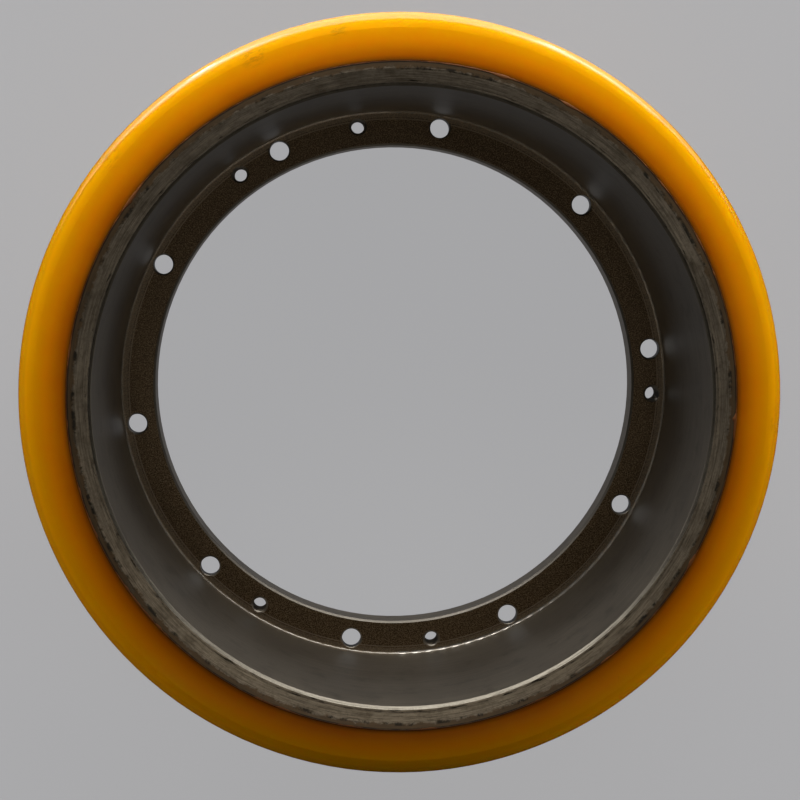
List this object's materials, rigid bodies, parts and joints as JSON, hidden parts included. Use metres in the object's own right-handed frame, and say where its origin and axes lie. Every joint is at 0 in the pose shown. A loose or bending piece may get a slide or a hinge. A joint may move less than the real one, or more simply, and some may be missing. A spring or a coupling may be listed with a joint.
{
  "type": "polyurethane wheel",
  "caption": "Drive wheel ring: turned steel rim with an open barrel, an inward bolting web and a pilot bore, and a bonded amber polyurethane tyre with rounded shoulders.",
  "frame": {"origin": "on the wheel's axis, at its back face, which is the face that it lies on", "axes": "+Z along the wheel's axis, towards its open end; the wheel lies on its back face"},
  "size_m": [0.343, 0.343, 0.114],
  "materials": {
    "steel": "turned steel, dark and satin, with dirt in the tool marks",
    "polyurethane": "glossy translucent amber polyurethane"
  },
  "bodies": {
    "root": {"steel_rim": "steel", "polyurethane_tyre": "polyurethane"}
  },
  "joints": []
}
